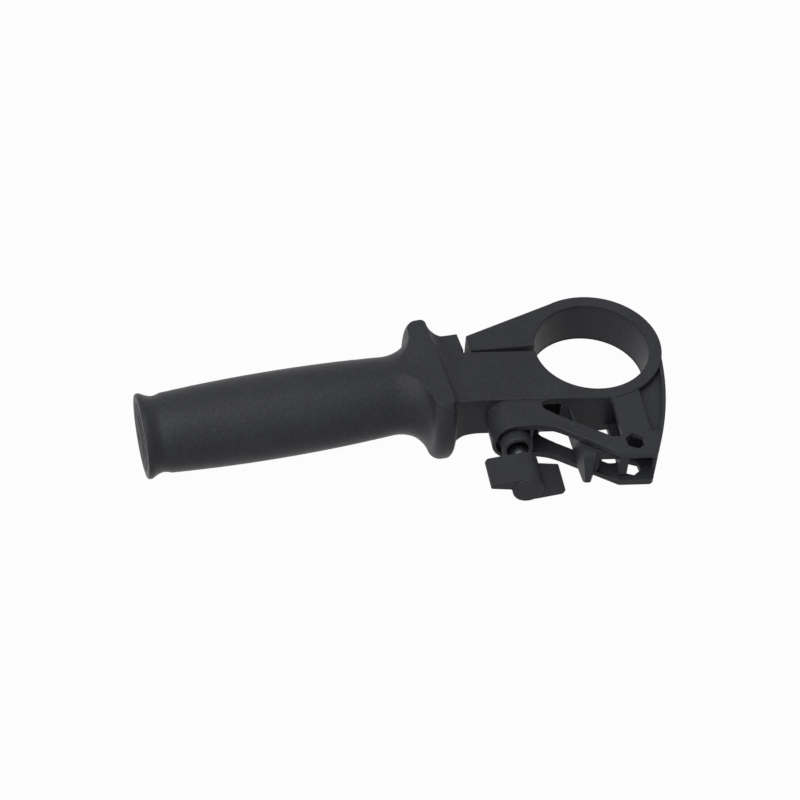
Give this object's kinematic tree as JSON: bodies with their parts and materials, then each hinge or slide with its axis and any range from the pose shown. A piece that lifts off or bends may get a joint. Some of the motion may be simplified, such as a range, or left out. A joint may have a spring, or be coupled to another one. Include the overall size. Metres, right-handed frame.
{
  "type": "power tool side handle",
  "caption": "Black side handle for a power tool, with a flanged grip, a split ring clamp closed by a wing screw, and a two-plate bracket with a catch for a hexagonal depth rod.",
  "frame": {"origin": "centre of the ring clamp's bore at the middle of its length", "axes": "+Z along the bore, +X away from the grip along the split, -Y towards the wing screw and the rod bracket"},
  "size_m": [0.1963, 0.0888, 0.032],
  "materials": {
    "glass_filled_nylon": "matte",
    "plug_plastic": "matte",
    "knob_plastic": "matte",
    "zinc_steel": "satin"
  },
  "bodies": {
    "handle": {"handle_body": "glass_filled_nylon", "grip_end_plug": "plug_plastic", "clamp_nut": "zinc_steel"},
    "screw": {"clamp_stud": "zinc_steel"},
    "knob": {"wing_knob": "knob_plastic"},
    "catch": {"catch_lever": "knob_plastic"}
  },
  "joints": [
    {"name": "screw_travel", "type": "slide", "parent": "handle", "child": "screw", "axis": [-0.0854, 0.9963, 0], "range_m": [-0.00083, 0.0055]},
    {"name": "knob_turn", "type": "hinge", "parent": "screw", "child": "knob", "pos_m": [-0.03089, -0.05534, 0], "axis": [-0.0854, 0.9963, 0], "range_deg": [-305, 1985]},
    {"name": "catch_swing", "type": "hinge", "parent": "handle", "child": "catch", "pos_m": [-0.0041, -0.04625, 0], "axis": [0, 0, -1], "range_deg": [0, 9], "stiffness_Nm_per_rad": 0.25, "springref_deg": -5.73}
  ],
  "couplings": [
    {"joint": "knob_turn", "follows": "screw_travel", "rad_per_m": 6283.2}
  ]
}
